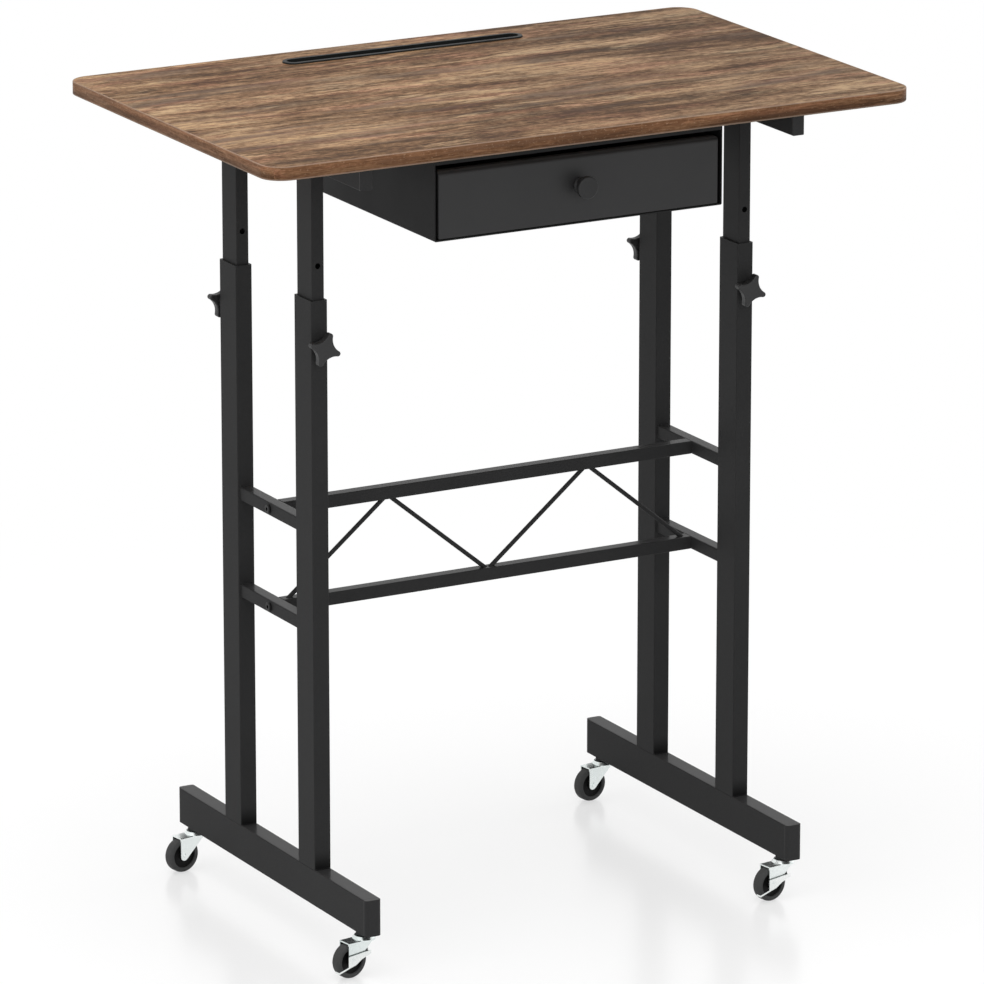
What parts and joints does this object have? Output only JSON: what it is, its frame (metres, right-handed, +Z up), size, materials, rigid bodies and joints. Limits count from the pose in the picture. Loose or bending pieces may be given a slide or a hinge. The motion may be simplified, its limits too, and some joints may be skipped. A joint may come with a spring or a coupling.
{
  "type": "sit-stand desk",
  "caption": "Rolling height-adjustable desk: wood-look top with a tablet slot, hand-locked telescopic legs, a drawer, a braced frame and braked swivel casters.",
  "frame": {"origin": "on the floor under the middle of the tabletop", "axes": "+Z up, +X to the user's right along the desk's length, +Y away from the user, who stands at -Y where the drawer opens"},
  "size_m": [0.8, 0.5, 0.9358],
  "materials": {
    "wood_top": "rustic brown streaked laminate, satin",
    "wood_edge": "edge strip with the same streaks, satin",
    "black_tube": "black powder coat, fine texture",
    "black_sheet": "black powder-coated sheet, fine texture",
    "case_sheet": "black powder-coated case sheet, matte",
    "tray_sheet": "black coated sheet, satin",
    "black_plastic": "black moulded plastic, satin",
    "knob_plastic": "black moulded knob, satin",
    "liner_plastic": "dark grey moulded liner, satin",
    "pull_black": "black turned knob, satin",
    "zinc_steel": "zinc-plated pressed steel",
    "bolt_steel": "dark plated fastener",
    "brake_steel": "zinc-plated pedal",
    "wheel_rubber": "dark grey rubber wheel, matte"
  },
  "bodies": {
    "base_frame": {"left_foot": "black_tube", "right_foot": "black_tube", "foot_end_caps": "black_plastic", "outer_leg_front_left": "black_tube", "outer_leg_front_right": "black_tube", "outer_leg_back_left": "black_tube", "outer_leg_back_right": "black_tube", "upper_side_rail_left": "black_tube", "upper_side_rail_right": "black_tube", "lower_side_rail_left": "black_tube", "lower_side_rail_right": "black_tube", "upper_long_rail": "black_tube", "lower_long_rail": "black_tube", "brace_rods": "black_tube", "rail_bolts": "bolt_steel", "rail_end_inserts": "bolt_steel", "leg_guide_bushes": "black_plastic", "clamp_nuts": "bolt_steel", "caster_stems": "zinc_steel", "caster_lock_nuts": "bolt_steel"},
    "upper_desk": {"tabletop": "wood_top", "edge_banding": "wood_edge", "slot_liner": "liner_plastic", "top_rail_left": "black_tube", "top_rail_right": "black_tube", "top_rail_end_caps": "black_plastic", "inner_leg_front_left": "black_tube", "inner_leg_front_right": "black_tube", "inner_leg_back_left": "black_tube", "inner_leg_back_right": "black_tube", "underside_screws": "bolt_steel", "drawer_case_left": "case_sheet", "drawer_case_right": "case_sheet", "drawer_case_cross_sheets": "case_sheet"},
    "drawer": {"drawer_front": "black_sheet", "drawer_tray": "tray_sheet", "drawer_knob": "pull_black", "drawer_knob_screw": "bolt_steel"},
    "lock_stud_front_left": {"clamp_stud_front_left": "bolt_steel"},
    "lock_knob_front_left": {"star_knob_front_left": "knob_plastic"},
    "caster_front_left": {"caster_fork_front_left": "zinc_steel", "caster_axle_front_left": "zinc_steel"},
    "wheel_front_left": {"caster_wheel_front_left": "wheel_rubber"},
    "brake_front_left": {"brake_pedal_front_left": "brake_steel"},
    "lock_stud_front_right": {"clamp_stud_front_right": "bolt_steel"},
    "lock_knob_front_right": {"star_knob_front_right": "knob_plastic"},
    "caster_front_right": {"caster_fork_front_right": "zinc_steel", "caster_axle_front_right": "zinc_steel"},
    "wheel_front_right": {"caster_wheel_front_right": "wheel_rubber"},
    "brake_front_right": {"brake_pedal_front_right": "brake_steel"},
    "lock_stud_back_left": {"clamp_stud_back_left": "bolt_steel"},
    "lock_knob_back_left": {"star_knob_back_left": "knob_plastic"},
    "caster_back_left": {"caster_fork_back_left": "zinc_steel", "caster_axle_back_left": "zinc_steel"},
    "wheel_back_left": {"caster_wheel_back_left": "wheel_rubber"},
    "lock_stud_back_right": {"clamp_stud_back_right": "bolt_steel"},
    "lock_knob_back_right": {"star_knob_back_right": "knob_plastic"},
    "caster_back_right": {"caster_fork_back_right": "zinc_steel", "caster_axle_back_right": "zinc_steel"},
    "wheel_back_right": {"caster_wheel_back_right": "wheel_rubber"}
  },
  "joints": [
    {"name": "height_slide", "type": "slide", "parent": "base_frame", "child": "upper_desk", "axis": [0, 0, 1], "range_m": [-0.09, 0.27]},
    {"name": "drawer_slide", "type": "slide", "parent": "upper_desk", "child": "drawer", "axis": [0, -1, 0], "range_m": [0, 0.22]},
    {"name": "lock_feed_front_left", "type": "slide", "parent": "base_frame", "child": "lock_stud_front_left", "axis": [0, 1, 0], "range_m": [0, 0.003]},
    {"name": "lock_turn_front_left", "type": "hinge", "parent": "lock_stud_front_left", "child": "lock_knob_front_left", "pos_m": [-0.269, -0.117, 0.691], "axis": [0, 1, 0], "range_deg": [0, 1080]},
    {"name": "swivel_front_left", "type": "hinge", "parent": "base_frame", "child": "caster_front_left", "pos_m": [-0.269, -0.203, 0.045], "axis": [0, 0, 1], "continuous": true},
    {"name": "roll_front_left", "type": "hinge", "parent": "caster_front_left", "child": "wheel_front_left", "pos_m": [-0.28875, -0.20613, 0.02], "axis": [-0.1564, 0.9877, 0], "continuous": true},
    {"name": "brake_press_front_left", "type": "hinge", "parent": "caster_front_left", "child": "brake_front_left", "pos_m": [-0.29172, -0.2066, 0.0237], "axis": [-0.1564, 0.9877, 0], "range_deg": [0, 12]},
    {"name": "lock_feed_front_right", "type": "slide", "parent": "base_frame", "child": "lock_stud_front_right", "axis": [0, 1, 0], "range_m": [0, 0.003]},
    {"name": "lock_turn_front_right", "type": "hinge", "parent": "lock_stud_front_right", "child": "lock_knob_front_right", "pos_m": [0.269, -0.117, 0.691], "axis": [0, 1, 0], "range_deg": [0, 1080]},
    {"name": "swivel_front_right", "type": "hinge", "parent": "base_frame", "child": "caster_front_right", "pos_m": [0.269, -0.203, 0.045], "axis": [0, 0, 1], "continuous": true},
    {"name": "roll_front_right", "type": "hinge", "parent": "caster_front_right", "child": "wheel_front_right", "pos_m": [0.24925, -0.20613, 0.02], "axis": [-0.1564, 0.9877, 0], "continuous": true},
    {"name": "brake_press_front_right", "type": "hinge", "parent": "caster_front_right", "child": "brake_front_right", "pos_m": [0.24628, -0.2066, 0.0237], "axis": [-0.1564, 0.9877, 0], "range_deg": [0, 12]},
    {"name": "lock_feed_back_left", "type": "slide", "parent": "base_frame", "child": "lock_stud_back_left", "axis": [0, -1, 0], "range_m": [0, 0.003]},
    {"name": "lock_turn_back_left", "type": "hinge", "parent": "lock_stud_back_left", "child": "lock_knob_back_left", "pos_m": [-0.269, 0.123, 0.691], "axis": [0, -1, 0], "range_deg": [0, 1080]},
    {"name": "swivel_back_left", "type": "hinge", "parent": "base_frame", "child": "caster_back_left", "pos_m": [-0.269, 0.209, 0.045], "axis": [0, 0, 1], "continuous": true},
    {"name": "roll_back_left", "type": "hinge", "parent": "caster_back_left", "child": "wheel_back_left", "pos_m": [-0.28875, 0.20587, 0.02], "axis": [-0.1564, 0.9877, 0], "continuous": true},
    {"name": "lock_feed_back_right", "type": "slide", "parent": "base_frame", "child": "lock_stud_back_right", "axis": [0, -1, 0], "range_m": [0, 0.003]},
    {"name": "lock_turn_back_right", "type": "hinge", "parent": "lock_stud_back_right", "child": "lock_knob_back_right", "pos_m": [0.269, 0.123, 0.691], "axis": [0, -1, 0], "range_deg": [0, 1080]},
    {"name": "swivel_back_right", "type": "hinge", "parent": "base_frame", "child": "caster_back_right", "pos_m": [0.269, 0.209, 0.045], "axis": [0, 0, 1], "continuous": true},
    {"name": "roll_back_right", "type": "hinge", "parent": "caster_back_right", "child": "wheel_back_right", "pos_m": [0.24925, 0.20587, 0.02], "axis": [-0.1564, 0.9877, 0], "continuous": true}
  ],
  "couplings": [
    {"joint": "lock_feed_front_left", "follows": "lock_turn_front_left", "m_per_rad": 0.00015915},
    {"joint": "lock_feed_front_right", "follows": "lock_turn_front_right", "m_per_rad": 0.00015915},
    {"joint": "lock_feed_back_left", "follows": "lock_turn_back_left", "m_per_rad": 0.00015915},
    {"joint": "lock_feed_back_right", "follows": "lock_turn_back_right", "m_per_rad": 0.00015915}
  ]
}
